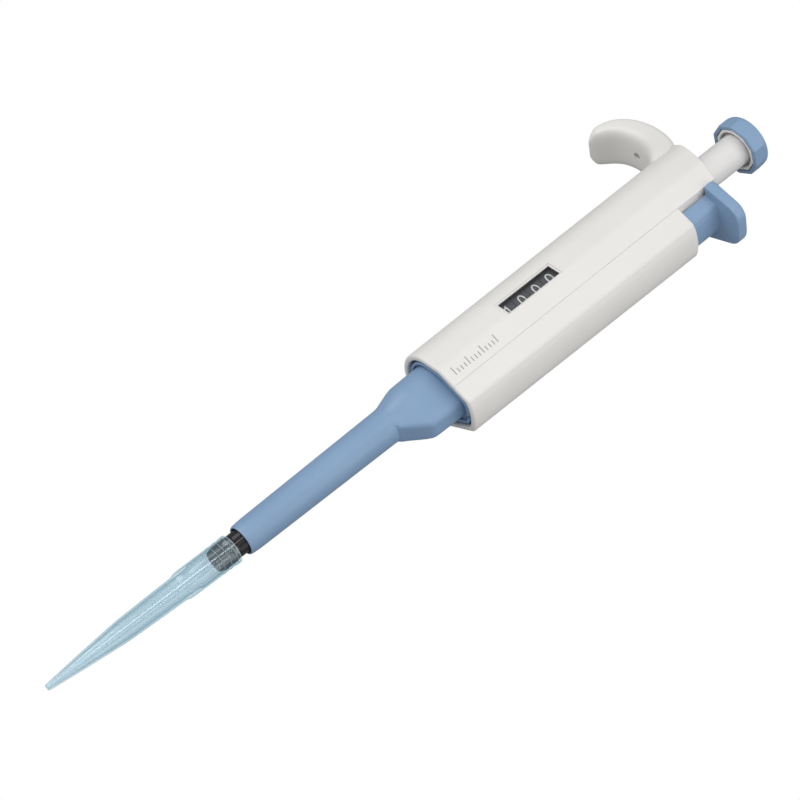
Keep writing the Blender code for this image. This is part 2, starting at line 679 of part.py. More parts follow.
def build():
    clear_scene()
    white = material("body_white", (0.78, 0.77, 0.74), 0.42)
    cream = material("rod_white", (0.70, 0.68, 0.66), 0.4)
    blue = material("grey_blue", (0.27, 0.39, 0.55), 0.42)
    black = material("black_plastic", (0.05, 0.05, 0.055), 0.45)
    drum_grey = material("drum_grey", (0.06, 0.06, 0.065), 0.5)
    inner = material("inner_acetal", (0.62, 0.61, 0.58), 0.5)
    steel = material("steel", (0.62, 0.62, 0.63), 0.3, metallic=1.0)
    brass = material("brass", (0.72, 0.55, 0.28), 0.35, metallic=1.0)
    rubber = material("rubber", (0.03, 0.03, 0.03), 0.7)
    ptfe = material("ptfe", (0.85, 0.85, 0.83), 0.5)
    clear = material("clear_plastic", (0.8, 0.82, 0.83), 0.1, alpha=0.35, transmission=0.9)
    tip_blue = material("tip_polypropylene", (0.45, 0.66, 0.74), 0.25, alpha=0.6, transmission=0.6)

    rear_shell(white)
    front_cover(white)
    window_lens(clear)
    top_cap(white)
    chassis(inner)
    cylinder(black)
    cylinder_nut(brass)
    tube("piston_seal", PISTON_R + GAP, 5.7, 162.8, 165.3, ptfe)
    o_ring(rubber)
    tube("seal_washer", PISTON_R + 0.4, 6.7, 165.6, 166.8, steel)
    spring("main_spring", 5.1, 0.45, 167.1, COLLAR_BOTTOM + 1.1, 8.5, steel)
    rod("carry_shaft", 0.4, CHASSIS_BASE[1] + GAP, CHASSIS_MIDDLE[0] - GAP, steel, 8,
        (PINION_X, PINION_Y), 0.1)

    spindle(inner)
    volume_nut(brass)
    tube("spindle_clip", SPINDLE_R + GAP, 9.0, CHASSIS_TOP[1] + GAP, CHASSIS_TOP[1] + 1.3, steel, 24)
    for index, name in enumerate(("thousands_drum", "hundreds_drum", "tens_drum", "units_drum")):
        drum(name, index, drum_grey)
    for index, name in enumerate(("thousands_pinion", "hundreds_pinion", "tens_pinion")):
        carry_pinion(name, index, inner)

    tube("blowout_stop", STEEL_R + 0.6, SPINDLE_BORE - GAP, 221.2, 224.2, brass)
    spring("blowout_spring", 4.2, 0.7, 207.3, 220.9, 5.0, steel)

    plunger_knob(blue)
    knob_insert(cream)
    push_rod(cream)
    rod("centre_rod", STEEL_R, PISTON_BOTTOM + 38.0, KNOB_TOP - 2.6, steel)
    piston_collar(inner)
    rod("piston", PISTON_R, PISTON_BOTTOM, PISTON_BOTTOM + 37.7, steel, 28, chamfer=0.5)

    ejector_button(blue)
    ejector_rod(steel)
    ejector_sleeve(blue)
    spring("ejector_spring", 2.15, 0.3, 215.3, 238.2, 9.0, steel, centre=(EJECT_X, 0.0))
    pipette_tip(tip_blue)


build()
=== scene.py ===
"""A manual micropipette with its tip on, in white, grey-blue and black plastic.

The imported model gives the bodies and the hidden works.  Everything that shows is built again here
with rounded edges and finer surfaces, in the same places.  Lengths are millimetres, and heights run
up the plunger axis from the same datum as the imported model's, just above the tip's open end.
"""

import math

import bmesh
import bpy
import numpy as np
from mathutils import Matrix, Vector


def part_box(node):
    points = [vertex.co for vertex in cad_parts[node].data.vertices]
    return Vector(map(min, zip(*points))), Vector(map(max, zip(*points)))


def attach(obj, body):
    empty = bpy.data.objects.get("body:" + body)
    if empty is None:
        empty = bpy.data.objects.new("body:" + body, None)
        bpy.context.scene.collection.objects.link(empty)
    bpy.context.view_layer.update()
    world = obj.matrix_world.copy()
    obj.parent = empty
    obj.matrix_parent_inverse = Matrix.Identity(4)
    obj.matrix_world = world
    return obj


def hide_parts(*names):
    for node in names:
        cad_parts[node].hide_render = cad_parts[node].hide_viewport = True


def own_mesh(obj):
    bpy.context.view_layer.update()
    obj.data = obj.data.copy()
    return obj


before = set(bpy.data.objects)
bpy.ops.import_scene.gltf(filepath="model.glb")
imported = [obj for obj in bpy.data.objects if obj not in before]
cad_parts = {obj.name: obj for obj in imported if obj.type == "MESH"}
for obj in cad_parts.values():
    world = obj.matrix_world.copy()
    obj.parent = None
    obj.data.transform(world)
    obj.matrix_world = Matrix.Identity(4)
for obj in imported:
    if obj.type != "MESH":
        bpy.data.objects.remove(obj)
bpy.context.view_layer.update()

MM = 0.001

# The pipette's own sizes, in millimetres above the datum or from the plunger axis; angles in degrees
TIP_END = -2.4
TIP_SEAT = 62.5                # where the tip leans from
TIP_LEAN = 1.3
TIP_LEAN_TOWARDS = 218.0
SLEEVE_END = 72.1
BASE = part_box("ejector_sleeve")[0].z - SLEEVE_END * MM     # the datum's height in the frame
BODY_BOTTOM = 151.9
COVER_TOP = 252.5              # top of the nose half
BODY_TOP = 272.5               # top of the hook half, on the plunger axis
TOP_SLOPE = 0.19               # fall of the body's top towards the nose
KNOB_BOTTOM = 291.9
KNOB_TOP = 298.8
KNOB_R = 9.86                  # to the corners
KNOB_TURN = 191.0              # direction of one corner
KNOB_SIDES = 10
ROD_R = 5.7
WALL = 1.5
RIM_EXTRA = 0.45               # how much thicker the body's wall is at its lower rim
SEAM_X = 12.0                  # the plane where the two halves of the body meet
BACK_CENTRE_X = -1.2           # centre of the half oval on the hook side
CREASE_X = 5.6                 # where the straight facets start
OUTLINE_LOW = {"back": 11.3, "side": 12.9, "nose": 19.5, "corner": 18.2, "half": 6.75}
OUTLINE_HIGH = {"back": 12.3, "side": 13.4, "nose": 20.4, "corner": 19.1, "half": 7.15}
WINDOW_LOW = (-0.1, 183.4)     # corners of the window, as (x, z)
WINDOW_HIGH = (5.5, 205.8)
WINDOW_FACE = -12.98           # y of the frame's face
DRUM_R = 11.0
DRUM_PITCH = 6.1
DRUM_FIRST = 185.3             # middle of the lowest wheel
DRUM_SHOWS = -76.2             # direction of the figure that the window shows
FIGURE_HEIGHT = 4.15           # scales of the strokes
FIGURE_WIDTH = 4.067
FIGURE_STROKE = 0.5
BUSH_BORE_R = 5.95
BUSH_HIGHEST = 273.25          # leaves room for the knob when it is pressed right down
HOOK_CENTRE = (-24.2, 254.3)   # (x, z) of the hook's curve
HOOK_SQUARENESS = 3.9          # power of the rounded-square section
LANYARD_X = -23.6
LANYARD_R = 1.35
STEM_X = 12.85                 # back of the ejector's stem
FLANGE_LOW = 264.3
FLANGE_HIGH = 268.7


# ---------------------------------------------------------------- meshes

def solid(name, points, faces, weld=False):
    """An object from millimetre points, with its faces turned outward."""
    mesh = bpy.data.meshes.new(name)
    mesh.from_pydata([(x * MM, y * MM, z * MM + BASE) for x, y, z in points], [], faces)
    shape = bmesh.new()
    shape.from_mesh(mesh)
    if weld:
        bmesh.ops.remove_doubles(shape, verts=shape.verts, dist=1e-7)
    bmesh.ops.recalc_face_normals(shape, faces=shape.faces)
    shape.to_mesh(mesh)
    shape.free()
    made = bpy.data.objects.new(name, mesh)
    bpy.context.scene.collection.objects.link(made)
    return made


def piece(name, points, faces, look, body, replaces=(), angle=30.0, slot=None):
    """A visible piece from millimetre points, riding on a body."""
    made = solid(name, points, faces, weld=True)
    finish_piece(made, look, body, replaces, angle)
    return made


def finish_piece(made, look, body, replaces=(), angle=30.0):
    """Shading, material, the body that a piece rides on and the imported parts that it hides."""
    made.data.shade_smooth()
    made.data.set_sharp_from_angle(angle=math.radians(angle))
    made.data.materials.clear()
    made.data.materials.append(look)
    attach(made, body)
    if replaces:
        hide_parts(*replaces)


def loft(rings, closed=False, caps=True):
    """Faces through rings of equal length."""
    count = len(rings[0])
    points = [p for ring in rings for p in ring]
    faces = []
    spans = len(rings) if closed else len(rings) - 1
    for level in range(spans):
        low, high = level * count, ((level + 1) % len(rings)) * count
        for i in range(count):
            j = (i + 1) % count
            faces.append((low + i, low + j, high + j, high + i))
    if not closed and caps:
        faces.append(tuple(range(count - 1, -1, -1)))
        faces.append(tuple(range(len(points) - count, len(points))))
    return points, faces


def circle(radius, z, count=96, x=0.0):
    turns = [2.0 * math.pi * k / count for k in range(count)]
    return [(x + radius * math.cos(turn), radius * math.sin(turn), z) for turn in turns]


def at_height(outline_points, z):
    return [(x, y, z) for x, y in outline_points]


def turned(profile, steps=96):
    """A closed (radius, z) profile turned about the plunger axis."""
    return loft([circle(radius, z, steps) for radius, z in profile], closed=True)


def smooth_corner(before, corner, after, radius, steps=6, most=0.9):
    """Points that round a corner between two neighbours, using at most that share of each side."""
    before, corner, after = Vector(before), Vector(corner), Vector(after)
    a, b = before - corner, after - corner
    reach = min(radius / math.tan(a.angle(b) / 2.0), a.length * most, b.length * most)
    start, end = corner + a.normalized() * reach, corner + b.normalized() * reach
    points = []
    for k in range(steps + 1):
        t = k / steps
        point = start * (1 - t) ** 2 + corner * 2 * t * (1 - t) + end * t ** 2
        points.append((point.x, point.y))
    return points


def rounded(points, radii, steps=5):
    """A closed polyline with its corners rounded; one radius for all, or one for each."""
    radii = radii if isinstance(radii, (list, tuple)) else [radii] * len(points)
    result = []
    for i, (here, radius) in enumerate(zip(points, radii)):
        if radius > 0.0:
            result += smooth_corner(points[i - 1], here, points[(i + 1) % len(points)], radius, steps, 0.48)
        else:
            result.append(here)
    return result


def combine(target, other, operation="DIFFERENCE"):
    """An exact Boolean with another solid, which is then removed."""
    cut = target.modifiers.new("cut", "BOOLEAN")
    cut.operation = operation
    cut.solver = "EXACT"
    cut.object = other
    bpy.context.view_layer.update()
    depsgraph = bpy.context.evaluated_depsgraph_get()
    mesh = bpy.data.meshes.new_from_object(target.evaluated_get(depsgraph))
    target.modifiers.clear()
    target.data = mesh
    bpy.data.objects.remove(other, do_unlink=True)


# ---------------------------------------------------------------- materials

def graph(name):
    """A new node material: itself, its tree and its Principled shader."""
    made = bpy.data.materials.new(name)
    made.use_nodes = True
    tree = made.node_tree
    return made, tree, tree.nodes["Principled BSDF"]


def noise(tree, scale, detail=2.0, rough=0.5, stretch=(1.0, 1.0, 1.0)):
    """Noise in the object's own metres, so scale is features per metre."""
    place = tree.nodes.new("ShaderNodeTexCoord")
    mapping = tree.nodes.new("ShaderNodeMapping")
    mapping.inputs["Scale"].default_value = stretch
    tree.links.new(place.outputs["Object"], mapping.inputs["Vector"])
    made = tree.nodes.new("ShaderNodeTexNoise")
    made.inputs["Scale"].default_value = scale
    made.inputs["Detail"].default_value = detail
    made.inputs["Roughness"].default_value = rough
    tree.links.new(mapping.outputs["Vector"], made.inputs["Vector"])
    return made


def ramp(tree, source, low, high, out_low, out_high):
    """The source's range from low to high, spread over another range."""
    made = tree.nodes.new("ShaderNodeMapRange")
    made.inputs["From Min"].default_value = low
    made.inputs["From Max"].default_value = high
    made.inputs["To Min"].default_value = out_low
    made.inputs["To Max"].default_value = out_high
    tree.links.new(source, made.inputs["Value"])
    return made.outputs["Result"]


def tint(tree, factor, first, second):
    """A mix of two colours."""
    made = tree.nodes.new("ShaderNodeMix")
    made.data_type = "RGBA"
    made.inputs["A"].default_value = (*first, 1.0)
    made.inputs["B"].default_value = (*second, 1.0)
    tree.links.new(factor, made.inputs["Factor"])
    return made.outputs["Result"]


def bump(tree, shader, sources):
    """Chained bumps: (height socket, strength, distance in mm)."""
    last = None
    for height, strength, distance in sources:
        made = tree.nodes.new("ShaderNodeBump")
        made.inputs["Strength"].default_value = strength
        made.inputs["Distance"].default_value = distance * MM
        tree.links.new(height, made.inputs["Height"])
        if last:
            tree.links.new(last, made.inputs["Normal"])
        last = made.outputs["Normal"]
    tree.links.new(last, shader.inputs["Normal"])


def plastic(name, colour, shade, roughness, spread=0.06, grain=0.35, scatter=0.0, specular=0.5):
    """Moulded plastic: a slow drift of colour, a fine satin grain and faint flow marks."""
    made, tree, shader = graph(name)
    slow = noise(tree, 38.0, 3.0)
    tree.links.new(tint(tree, ramp(tree, slow.outputs["Fac"], 0.35, 0.65, 0.0, 1.0), colour, shade),
                   shader.inputs["Base Color"])
    fine = noise(tree, 5200.0, 2.0, 0.6)
    smear = noise(tree, 260.0, 4.0, 0.6, (1.0, 1.0, 0.35))
    tree.links.new(ramp(tree, smear.outputs["Fac"], 0.3, 0.7, roughness - spread, roughness + spread),
                   shader.inputs["Roughness"])
    bump(tree, shader, [(slow.outputs["Fac"], 0.12, 0.25), (fine.outputs["Fac"], grain, 0.012)])
    shader.inputs["Specular IOR Level"].default_value = specular
    shader.inputs["Subsurface Weight"].default_value = scatter
    shader.inputs["Subsurface Radius"].default_value = (1.0, 0.9, 0.8)
    shader.inputs["Subsurface Scale"].default_value = 0.0008
    return made


def metal(name, colour, shade, roughness, along=(1.0, 1.0, 0.02), scale=900.0):
    """Ground or turned metal, with its marks drawn out one way."""
    made, tree, shader = graph(name)
    marks = noise(tree, scale, 3.0, 0.6, along)
    tree.links.new(tint(tree, marks.outputs["Fac"], colour, shade), shader.inputs["Base Color"])
    tree.links.new(ramp(tree, marks.outputs["Fac"], 0.3, 0.7, roughness * 0.7, roughness * 1.3),
                   shader.inputs["Roughness"])
    bump(tree, shader, [(marks.outputs["Fac"], 0.25, 0.01)])
    shader.inputs["Metallic"].default_value = 1.0
    return made


def clear(name):
    """Clear moulded window: see-through, with a faint scuffed gloss."""
    made, tree, shader = graph(name)
    ripple = noise(tree, 150.0, 1.0)
    scuff = noise(tree, 1400.0, 4.0, 0.7)
    tree.links.new(ramp(tree, scuff.outputs["Fac"], 0.45, 0.75, 0.05, 0.16), shader.inputs["Roughness"])
    bump(tree, shader, [(ripple.outputs["Fac"], 0.15, 0.05)])
    tree.links.new(tint(tree, scuff.outputs["Fac"], (0.5, 0.5, 0.52), (0.4, 0.4, 0.42)),
                   shader.inputs["Base Color"])
    see_through(tree, shader, tint(tree, scuff.outputs["Fac"], (0.97, 0.98, 0.98), (0.95, 0.96, 0.96)),
                ramp(tree, scuff.outputs["Fac"], 0.3, 0.8, 0.02, 0.05))
    return made


def see_through(tree, shader, colour, share):
    """Mix the shader over a tinted clear one; share is the shader's part."""
    see = tree.nodes.new("ShaderNodeBsdfTransparent")
    tree.links.new(colour, see.inputs["Color"])
    mix = tree.nodes.new("ShaderNodeMixShader")
    tree.links.new(share, mix.inputs["Fac"])
    tree.links.new(see.outputs["BSDF"], mix.inputs[1])
    tree.links.new(shader.outputs["BSDF"], mix.inputs[2])
    tree.links.new(mix.outputs["Shader"], tree.nodes["Material Output"].inputs["Surface"])


def tip_plastic(name):
    """Thin polypropylene: tinted and see-through, deeper where a wall is seen edge on."""
    made, tree, shader = graph(name)
    flow = noise(tree, 420.0, 3.0, 0.55, (1.0, 1.0, 0.04))
    cloud = noise(tree, 110.0, 2.0)
    share = ramp(tree, flow.outputs["Fac"], 0.35, 0.65, 0.0, 1.0)
    tree.links.new(tint(tree, share, (0.33, 0.50, 0.58), (0.40, 0.56, 0.63)), shader.inputs["Base Color"])
    tree.links.new(ramp(tree, cloud.outputs["Fac"], 0.3, 0.7, 0.20, 0.24), shader.inputs["Roughness"])
    bump(tree, shader, [(flow.outputs["Fac"], 0.02, 0.0002)])
    shader.inputs["IOR"].default_value = 3.2
    shader.inputs["Specular IOR Level"].default_value = 1.0
    edge = tree.nodes.new("ShaderNodeLayerWeight")
    edge.inputs["Blend"].default_value = 0.5
    thin = tint(tree, share, (0.820, 0.896, 0.928), (0.838, 0.910, 0.940))
    deep = tree.nodes.new("ShaderNodeMix")
    deep.data_type = "RGBA"
    deep.inputs["B"].default_value = (0.70, 0.82, 0.87, 1.0)
    tree.links.new(ramp(tree, edge.outputs["Facing"], 0.42, 0.72, 0.0, 1.0), deep.inputs["Factor"])
    tree.links.new(thin, deep.inputs["A"])
    see_through(tree, shader, deep.outputs["Result"],
                ramp(tree, edge.outputs["Facing"], 0.5, 1.0, 0.14, 0.18))
    return made


def clouded_with_painted_glint(name):
    """The same polypropylene on hoops and ribs, half clear; their cloudier, lighter colour is partly thicker
    plastic and partly a painted glint of light caught at their edges.
    """
    made, tree, shader = graph(name)
    cloud = noise(tree, 300.0, 2.0)
    tree.links.new(tint(tree, cloud.outputs["Fac"], (0.70, 0.83, 0.88), (0.80, 0.90, 0.93)),
                   shader.inputs["Base Color"])
    shader.inputs["Roughness"].default_value = 0.25
    bump(tree, shader, [(cloud.outputs["Fac"], 0.05, 0.01)])
    see_through(tree, shader, tint(tree, cloud.outputs["Fac"], (0.85, 0.92, 0.95), (0.88, 0.94, 0.96)),
                ramp(tree, cloud.outputs["Fac"], 0.3, 0.7, 0.32, 0.46))
    return made


WHITE = plastic("body_plastic", (0.79, 0.771, 0.742), (0.775, 0.758, 0.731), 0.46, scatter=0.08)
ROD = plastic("rod_plastic", (0.76, 0.745, 0.73), (0.735, 0.722, 0.71), 0.40, scatter=0.06)
# The knob's lining is the body's white made lighter: painted light on its face, which looks down towards the
# tip
LINING_PAINTED_LIGHT = plastic("lining_plastic_painted_light", (0.86, 0.85, 0.835), (0.83, 0.82, 0.805), 0.42, scatter=0.06)
BLUE = plastic("blue_plastic", (0.226, 0.349, 0.525), (0.212, 0.333, 0.507), 0.44, scatter=0.02)
BLACK = plastic("black_plastic", (0.020, 0.018, 0.020), (0.027, 0.024, 0.026), 0.15, 0.04, 0.06,
                specular=0.3)
DRUM = plastic("drum_plastic", (0.078, 0.078, 0.088), (0.092, 0.092, 0.102), 0.42, 0.06, 0.1)
# Near-black tunnel walls, darker than the wheels: partly dark plastic, partly painted shade inside the
# window's recess
MASK_AND_SHADE = plastic("window_mask_and_shade", (0.028, 0.028, 0.032), (0.035, 0.035, 0.040), 0.5, 0.08, 0.3)
INNER = plastic("inner_acetal", (0.66, 0.65, 0.62), (0.61, 0.60, 0.57), 0.50)
FIGURES = plastic("figure_paint", (0.86, 0.86, 0.86), (0.80, 0.80, 0.81), 0.55, 0.05, 0.6)
PRINT = plastic("grey_print", (0.30, 0.295, 0.285), (0.34, 0.335, 0.325), 0.6, 0.05, 0.6)
RUBBER = plastic("rubber", (0.022, 0.022, 0.022), (0.035, 0.034, 0.033), 0.72, 0.08, 0.8)
PTFE = plastic("ptfe", (0.80, 0.80, 0.78), (0.76, 0.76, 0.74), 0.45)
STEEL = metal("steel", (0.62, 0.62, 0.63), (0.50, 0.50, 0.52), 0.28)
BRASS = metal("brass", (0.72, 0.53, 0.26), (0.62, 0.43, 0.20), 0.34, (0.1, 0.1, 1.0))
CLEAR = clear("window_clear")
TIP = tip_plastic("tip_polypropylene")
# Hoops and ribs made cloudier and lighter: partly thicker plastic, partly painted glint at their edges
TIP_RIB_GLINT = clouded_with_painted_glint("tip_edges")


# ---------------------------------------------------------------- the body's outline

def outline(height, inset=0.0):
    """The body's outline at a height, as named numbers, moved inward by inset."""
    share = (height - BODY_BOTTOM) / (BODY_TOP - BODY_BOTTOM)
    size = {k: OUTLINE_LOW[k] + (OUTLINE_HIGH[k] - OUTLINE_LOW[k]) * share for k in OUTLINE_LOW}
    bulge = size["nose"] - size["corner"]
    nose_r = (size["half"] ** 2 + bulge ** 2) / (2.0 * bulge)
    size["nose_centre"] = size["nose"] - nose_r
    size["nose_r"] = nose_r - inset
    slope = math.atan2(size["side"] - size["half"], size["corner"] - CREASE_X)
    size["slope"] = slope
    size["start"] = Vector((CREASE_X - inset * math.sin(slope), size["side"] - inset * math.cos(slope)))
    size["along"] = Vector((math.cos(slope), -math.sin(slope)))
    size["crease"] = size["start"] + size["along"] * (inset * math.tan(slope / 2.0))
    size["back"] -= inset
    size["side"] -= inset
    return size


def facet_at(size, x):
    """Half-width of the straight facets at x."""
    return size["start"].y - (x - size["start"].x) * math.tan(size["slope"])


def back_half(size, front_x, steps=56):
    """Outline from (front_x, -y) round the hook side to (front_x, +y)."""
    crease = size["crease"]
    edge = (front_x, -facet_at(size, front_x))
    tangent = (BACK_CENTRE_X, -size["side"])
    corner = smooth_corner(edge, (crease.x, -crease.y), tangent, 5.0)
    points = [edge] + corner
    for i in range(steps + 1):
        turn = math.pi * i / steps
        points.append((BACK_CENTRE_X - size["back"] * math.sin(turn), -size["side"] * math.cos(turn)))
    return points + [(x, -y) for x, y in corner[::-1]] + [(edge[0], -edge[1])]


def nose_half(size, front_x, steps=16):
    """Outline from (front_x, -y) round the nose to (front_x, +y)."""
    start, along = size["start"], size["along"]
    offset = start - Vector((size["nose_centre"], 0.0))
    b = offset.dot(along)
    c = offset.length_squared - size["nose_r"] ** 2
    corner = start + along * (-b + math.sqrt(b * b - c))
    spread = math.asin(corner.y / size["nose_r"])

    def on_nose(turn):
        return (size["nose_centre"] + size["nose_r"] * math.cos(turn), size["nose_r"] * math.sin(turn))

    arc = [on_nose(-spread + 2.0 * spread * i / steps) for i in range(steps + 1)]
    edge = (front_x, -facet_at(size, front_x))
    turn_in = smooth_corner(edge, arc[0], arc[steps // 2], 2.2, 8)
    left = math.asin(min(1.0, abs(turn_in[-1][1]) / size["nose_r"]))
    keep = [on_nose(-left + 2.0 * left * i / steps) for i in range(1, steps)]
    return [edge] + turn_in + keep + [(x, -y) for x, y in turn_in[::-1]] + [(edge[0], -edge[1])]


def whole_outline(size):
    """The closed outline, nose and back together."""
    join_x = CREASE_X + 3.0
    return nose_half(size, join_x)[:-1] + back_half(size, join_x)[::-1][:-1]


def top_at(x):
    """Height of the body's sloping top."""
    return BODY_TOP - TOP_SLOPE * x


def edge_round(radius, steps=4):
    """(inset, rise) pairs that round an edge, from the end face to the side."""
    turns = [math.radians(90.0 * k / steps) for k in range(steps + 1)]
    return [(radius * (1.0 - math.sin(turn)), radius * (1.0 - math.cos(turn))) for turn in turns]


def shell_rings(half, front_x, low, high, outer_round=0.75, inner_round=0.4):
    """Rings of a C-shaped wall with rounded ends; high is a height, or None for the sloping top."""
    def ring(z, outer_inset, wall_inset, drop=None):
        outer = half(outline(z, outer_inset), front_x)
        inner = half(outline(z, WALL - wall_inset), front_x)
        return [(x, y, z if drop is None else top_at(x) - drop) for x, y in outer + inner[::-1]]

    rings = []
    for (a, rise), (b, _) in zip(edge_round(outer_round), edge_round(inner_round)):
        rings.append(ring(low + rise, a, b - RIM_EXTRA))
    rings += [ring(low + 1.5, 0.0, -RIM_EXTRA), ring(low + 2.0, 0.0, 0.0)]
    if high is None:
        for (a, drop), (b, _) in zip(edge_round(0.5)[::-1], edge_round(0.3)[::-1]):
            rings.append(ring(BODY_TOP, a, b, drop))
    else:
        for (a, drop), (b, _) in zip(edge_round(0.35)[::-1], edge_round(0.2)[::-1]):
            rings.append(ring(high - drop, a, b))
    return rings


# ---------------------------------------------------------------- handle

# Angle from straight up, underside radius, top radius and half-width of the hook
HOOK_SECTIONS = (
    (-56.0, 15.4, 25.2, 10.2), (-44.0, 15.3, 25.4, 10.4), (-32.0, 15.3, 25.5, 10.0), (-22.0, 15.4, 25.4, 9.4),
    (-12.0, 15.5, 25.1, 8.9), (0.0, 15.5, 24.8, 8.6), (12.0, 15.5, 24.4, 8.4), (22.0, 15.6, 23.8, 8.3),
    (32.0, 15.5, 22.7, 8.3), (41.0, 15.2, 21.3, 8.1), (48.0, 15.0, 20.0, 7.7), (54.0, 14.9, 18.8, 7.1),
    (58.5, 15.0, 17.8, 6.2), (61.0, 15.3, 16.8, 5.0),
)


def hook_values(angle):
    """Underside radius, top radius and half-width of the hook at an angle, evened out."""
    table = np.array(HOOK_SECTIONS)
    near = (-3.0, -1.5, 0.0, 1.5, 3.0)
    return [sum(float(np.interp(angle + d, table[:, 0], table[:, k])) for d in near) / len(near)
            for k in (1, 2, 3)]


def hook_form():
    """The finger hook: rounded-square sections round a curve, pinched shut at the point."""
    rings = []
    for angle in list(np.linspace(-56.0, 57.0, 58)) + [58.2, 59.2, 60.0, 60.7]:
        inner, outer, half = hook_values(angle)
        closing = max(0.0, (angle - 50.0) / 11.0)
        pinch = math.sqrt(max(0.0, 1.0 - min(1.0, closing) ** 2))
        middle, depth = (inner + outer) / 2.0, (outer - inner) / 2.0 * (0.25 + 0.75 * pinch)
        half *= 0.45 + 0.55 * pinch
        turn = math.radians(angle)
        ring = []
        for c, s, _ in circle(1.0, 0.0, 64):
            across = half * math.copysign(abs(c) ** (2.0 / HOOK_SQUARENESS), c)
            reach = middle + depth * math.copysign(abs(s) ** (2.0 / HOOK_SQUARENESS), s)
            ring.append((HOOK_CENTRE[0] - reach * math.sin(turn), across,
                         HOOK_CENTRE[1] + reach * math.cos(turn)))
        rings.append(ring)
    return solid("hook_form", *loft(rings))


def rear_shell():
    """Hook half of the body, with its window and lanyard hole."""
    shell = solid("handle_shell", *loft(shell_rings(back_half, SEAM_X, BODY_BOTTOM, None)))
    hook = hook_form()
    core = [at_height(whole_outline(outline(z, WALL / 2.0)), z) for z in (BODY_TOP - 40.0, BODY_TOP + 20.0)]
    combine(hook, solid("hook_trim", *loft(core)))
    combine(shell, hook, "UNION")
    x0, x1 = WINDOW_LOW[0] - 0.75, WINDOW_HIGH[0] - 0.05
    z0, z1 = WINDOW_LOW[1] - 0.75, WINDOW_HIGH[1] + 0.75
    opening = rounded([(x0, z0), (x1, z0), (x1, z1), (x0, z1)], 0.25)
    combine(shell, solid("window_cut", *loft([[(x, y, z) for x, z in opening] for y in (-16.0, -9.0)])))
    hole = [circle(LANYARD_R, z, 32, LANYARD_X) for z in (262.0, 290.0)]
    combine(shell, solid("lanyard_cut", *loft(hole)))
    finish_piece(shell, WHITE, "handle", ("rear_shell",), 24.0)


def seam_rails():
    """White rails inside the shell's front edges, beside the ejector stem."""
    for name, way in (("seam_rail_left", -1), ("seam_rail_right", 1)):
        size = outline(250.0, WALL)
        back, inner = SEAM_X - 1.1, 7.55
        base = [(back, facet_at(size, back) - 0.05), (SEAM_X, facet_at(size, SEAM_X) - 0.05),
                (SEAM_X, inner + 0.1), (SEAM_X - 0.1, inner), (back, inner)]
        piece(name, *loft([[(x, way * y, z) for x, y in base] for z in (248.0, 261.8)]), WHITE, "handle",
              slot="body_white")


def front_cover():
    """Nose half of the body."""
    rings = shell_rings(nose_half, SEAM_X + 0.10, BODY_BOTTOM, COVER_TOP)
    piece("handle_front", *loft(rings), WHITE, "handle", ("front_cover",), 24.0, "body_white")


def window():
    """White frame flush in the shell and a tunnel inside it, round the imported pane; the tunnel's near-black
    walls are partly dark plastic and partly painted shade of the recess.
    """
    def box(x0, z0, x1, z1, radius=0.12):
        return rounded([(x0, z0), (x1, z0), (x1, z1), (x0, z1)], radius, 3)

    def ring_of(levels):
        return loft([[(x, WINDOW_FACE + depth, z) for x, z in shape] for shape, depth in levels], closed=True)

    (x0, z0), (x1, z1) = WINDOW_LOW, WINDOW_HIGH
    outer = box(x0 - 0.65, z0 - 0.65, x1 - 0.15, z1 + 0.65, 0.2)
    hole = box(x0, z0 - 0.2, x1 - 0.32, z1)
    inside = box(x0 + 0.04, z0 - 0.16, x1 - 0.36, z1 - 0.04)
    wide = box(x0 - 0.3, z0 - 0.35, x1 - 0.15, z1 + 0.3)
    piece("window_frame", *ring_of(((hole, 0.9), (hole, 0.0), (outer, 0.0), (outer, 0.9))), WHITE, "handle",
          slot="body_white")
    piece("window_mask_and_shade", *ring_of(((inside, 1.6), (inside, 0.3), (wide, 1.0), (wide, 1.6))), MASK_AND_SHADE, "handle",
          slot="drum_grey")


def graduation_ticks():
    """Plain ticks, every fourth one longer, raised a hair off the flat beside the window."""
    points, faces = [], []
    first, pitch, half_thick, high = 155.6, 1.5, 0.16, 9.8
    for index in range(13):
        z = first + pitch * index
        size = outline(z)
        low = high - (2.7 if index % 4 == 0 else 1.5)
        out = Vector((math.sin(size["slope"]), -math.cos(size["slope"]), 0.0))
        start = len(points)
        for lift in (-0.05, 0.025):
            for x, dz in ((low, -half_thick), (high, -half_thick), (high, half_thick), (low, half_thick)):
                points.append(tuple(Vector((x, -facet_at(size, x), z + dz)) + out * lift))
        faces += [tuple(start + i for i in f) for f in
                  ((0, 1, 2, 3), (7, 6, 5, 4), (0, 4, 5, 1), (1, 5, 6, 2), (2, 6, 7, 3), (3, 7, 4, 0))]
    piece("graduation_ticks", points, faces, PRINT, "handle", slot="body_white")


def drums():
    """The number wheels, each with its ten figures."""
    for index, (node, shown) in enumerate((("thousands_drum", 1), ("hundreds_drum", 0),
                                           ("tens_drum", 0), ("units_drum", 0))):
        middle = DRUM_FIRST + DRUM_PITCH * index
        half, edge, bore = (DRUM_PITCH - 0.12) / 2.0, 0.12, 7.5
        profile = [(bore, middle - half), (DRUM_R - edge, middle - half), (DRUM_R, middle - half + edge),
                   (DRUM_R, middle + half - edge), (DRUM_R - edge, middle + half), (bore, middle + half)]
        piece(node.replace("drum", "wheel"), *turned(profile, 120), DRUM, node, (node,), slot="drum_grey")
        for digit in range(10):
            turn = math.radians(DRUM_SHOWS) - (digit - shown) * 2.0 * math.pi / 10.0
            figure(f"{node}_figure_{digit}", digit, middle, turn, node)


def arc(cx, cy, rx, ry, start, end, steps=20):
    turns = [math.radians(start + (end - start) * k / steps) for k in range(steps + 1)]
    return [(cx + rx * math.cos(turn), cy + ry * math.sin(turn)) for turn in turns]


